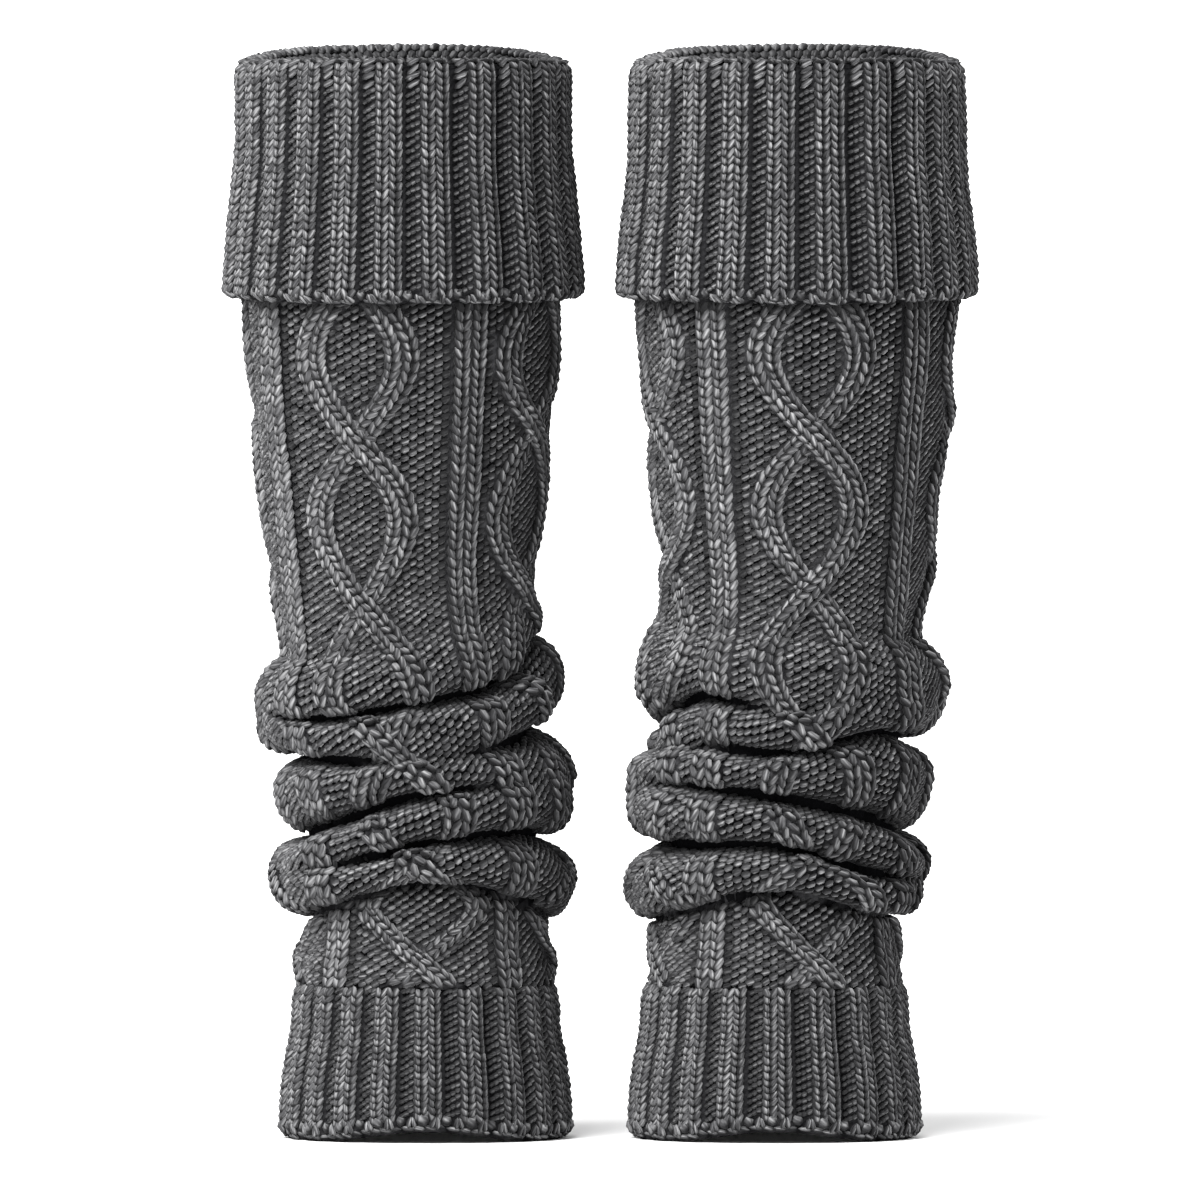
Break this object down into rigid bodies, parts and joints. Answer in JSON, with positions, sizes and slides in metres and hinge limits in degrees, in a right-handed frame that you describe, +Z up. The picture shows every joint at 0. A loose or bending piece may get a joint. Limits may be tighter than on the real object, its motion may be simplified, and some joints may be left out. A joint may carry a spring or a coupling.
{
  "type": "pair of leg warmers",
  "caption": "Pair of long cable-knit leg warmers with turned-down ribbed top cuffs and ribbed ankle cuffs, standing filled out and slouched into soft rolls.",
  "frame": {"origin": "on the floor, at the middle of the pair's bounding box", "axes": "+Z up along the warmers, +X across the pair towards the right-hand warmer as seen from the front, front faces -Y"},
  "size_m": [0.2722, 0.1194, 0.3937],
  "materials": {
    "charcoal_yarn": "soft marled charcoal yarn, thick and matt, with a light nap"
  },
  "bodies": {
    "root": {"left_top_cuff": "charcoal_yarn", "left_leg": "charcoal_yarn", "left_ankle_cuff": "charcoal_yarn", "right_top_cuff": "charcoal_yarn", "right_leg": "charcoal_yarn", "right_ankle_cuff": "charcoal_yarn"}
  },
  "joints": []
}
